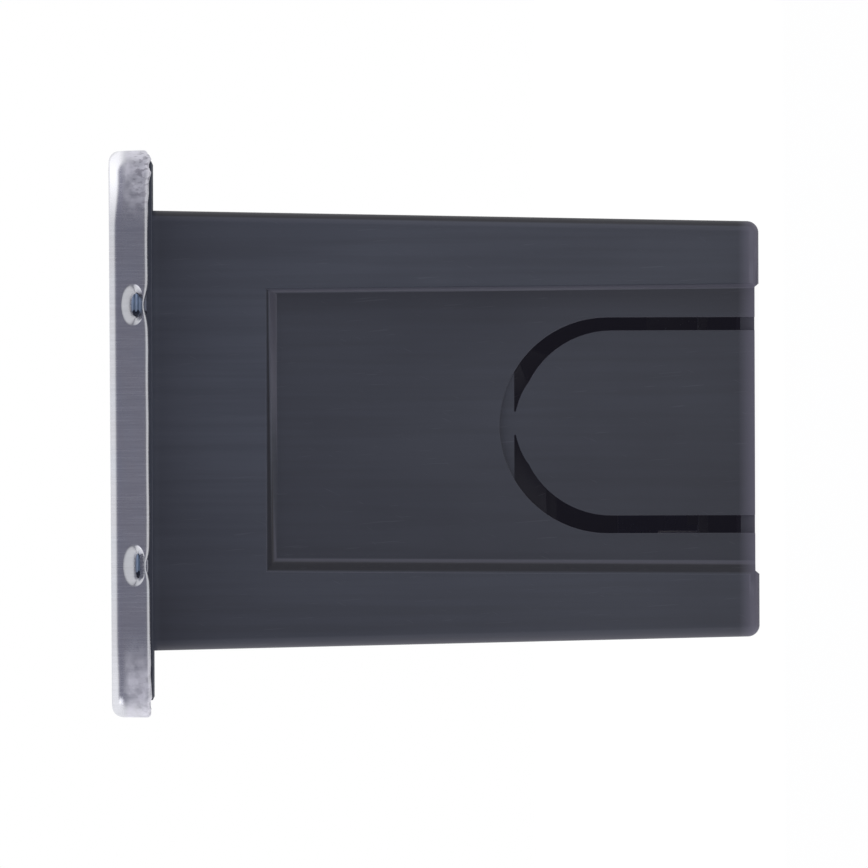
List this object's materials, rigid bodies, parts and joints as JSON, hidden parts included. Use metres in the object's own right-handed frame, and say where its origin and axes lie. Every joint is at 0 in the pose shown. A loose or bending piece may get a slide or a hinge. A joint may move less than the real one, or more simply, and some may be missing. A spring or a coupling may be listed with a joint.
{
  "type": "security tag detacher",
  "caption": "Drop-in tag detacher: square steel face cap, tapered black tub with a knock-out tab, round nest and a motor-driven curved probe.",
  "frame": {"origin": "middle of the tub's end, on the plane of the pads that it stands on", "axes": "+Z out of the face plate, -Y out of the tub side with the channel and knock-out tab, X across it"},
  "size_m": [0.1, 0.1, 0.1145],
  "materials": {
    "black_moulded": "satin moulded black plastic, blue-grey in the light",
    "stainless": "brushed stainless sheet",
    "zinc": "blue zinc plate",
    "steel": "ground steel",
    "black_steel": "black-passivated sheet, low sheen",
    "brass": "machined",
    "acetal": "natural acetal",
    "board": "very dark green solder mask",
    "dark_plastic": "fine matt",
    "capacitor_sleeve": "shrink sleeve",
    "terminal_green": "moulded",
    "ivory_plastic": "moulded"
  },
  "bodies": {
    "base": {"housing": "black_moulded", "face_cap": "stainless", "cap_studs": "zinc", "cap_nuts": "zinc", "nest_deck": "black_moulded", "deck_screws": "zinc", "chassis": "black_steel", "chassis_screws": "zinc", "gear_plate": "black_steel", "gear_standoffs": "brass", "gear_plate_screws": "zinc", "shaft_bushings": "brass", "idler_axle": "steel", "idler_clip": "steel", "gearbox": "steel", "motor_can": "stainless", "motor_end_cap": "dark_plastic", "motor_terminals": "brass", "motor_screws": "zinc", "plunger_spring": "steel", "tag_sensor": "dark_plastic", "home_sensor": "dark_plastic", "end_sensor": "dark_plastic", "circuit_board": "board", "board_screws": "zinc", "board_capacitors": "capacitor_sleeve", "board_chips": "dark_plastic", "board_connectors": "ivory_plastic", "terminal_block": "terminal_green", "terminal_screws": "zinc", "power_jack": "dark_plastic", "jack_pin": "brass", "jack_nut": "zinc"},
    "probe_arm": {"hub_shaft": "steel", "shaft_clips": "steel", "probe_hub": "acetal", "probe": "stainless", "probe_pin": "steel", "sector_gear": "brass", "sector_screws": "zinc"},
    "idler": {"idler_gear": "acetal"},
    "drive_pinion": {"pinion": "brass", "pinion_set_screw": "steel", "motor_shaft": "steel"},
    "tag_plunger": {"plunger": "acetal", "plunger_clip": "steel"}
  },
  "joints": [
    {"name": "probe_swing", "type": "hinge", "parent": "base", "child": "probe_arm", "pos_m": [0, 0, 0.094], "axis": [0, 1, 0], "range_deg": [0, 85]},
    {"name": "idler_spin", "type": "hinge", "parent": "base", "child": "idler", "pos_m": [0, -0.0225, 0.063], "axis": [0, 1, 0], "range_deg": [-118, 0]},
    {"name": "pinion_spin", "type": "hinge", "parent": "base", "child": "drive_pinion", "pos_m": [-0.01485, -0.0225, 0.04815], "axis": [0, 1, 0], "range_deg": [0, 191.5]},
    {"name": "plunger_press", "type": "slide", "parent": "base", "child": "tag_plunger", "axis": [0, 0, -1], "range_m": [0, 0.003], "stiffness_N_per_m": 150, "springref_m": -0.002, "deforming": ["plunger_spring"]}
  ],
  "couplings": [
    {"joint": "idler_spin", "follows": "probe_swing", "ratio": -1.3846},
    {"joint": "pinion_spin", "follows": "probe_swing", "ratio": 2.25}
  ]
}
